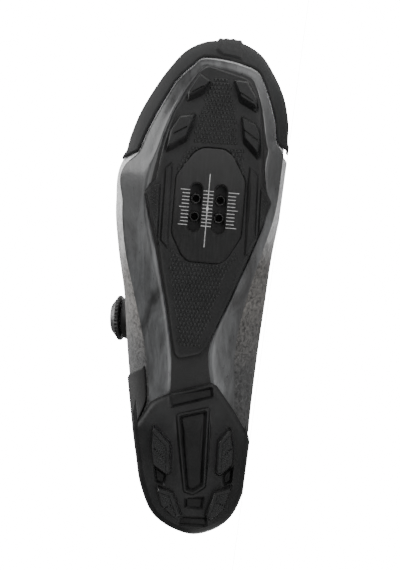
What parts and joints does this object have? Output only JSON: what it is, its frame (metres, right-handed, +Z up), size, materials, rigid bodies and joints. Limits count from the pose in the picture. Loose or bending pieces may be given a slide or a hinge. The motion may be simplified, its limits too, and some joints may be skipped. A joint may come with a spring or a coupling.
{
  "type": "cycling shoe",
  "caption": "Right off-road cycling shoe with a stiff sole, lugged treads, a slotted cleat mounting, a low collar and a rotary lace dial, lying on its side.",
  "frame": {"origin": "on the floor under the middle of the shoe's box, as it lies on its medial side", "axes": "+X towards the toe, +Z up towards the lateral side, -Y the way the sole faces"},
  "size_m": [0.2872, 0.1224, 0.0956],
  "materials": {
    "upper_textile": "mottled brown-grey textile, silvery at the forefoot",
    "black_film": "matte black film and webbing",
    "lining": "black padded lining",
    "sole_composite": "marbled dark grey fibre composite, satin gloss",
    "tread_rubber": "matte black rubber with fine knurling",
    "cleat_insert": "satin black moulded insert",
    "nut_steel": "blackened steel",
    "dial_plastic": "satin black plastic",
    "lace_cable": "dark coated cable"
  },
  "bodies": {
    "root": {"upper": "upper_textile", "tongue": "lining", "insole": "lining", "outsole": "sole_composite", "forefoot_tread": "tread_rubber", "heel_tread": "tread_rubber", "cleat_plate": "cleat_insert", "cleat_nut_plate": "nut_steel", "toe_guard": "tread_rubber", "heel_counter": "black_film", "dial_base": "dial_plastic", "dial_knob": "dial_plastic", "cable_cover": "black_film", "lace": "lace_cable", "lace_loop_medial_1": "black_film", "lace_loop_medial_2": "black_film", "lace_loop_medial_3": "black_film", "lace_loop_lateral_1": "black_film", "lace_loop_lateral_2": "black_film"}
  },
  "joints": []
}
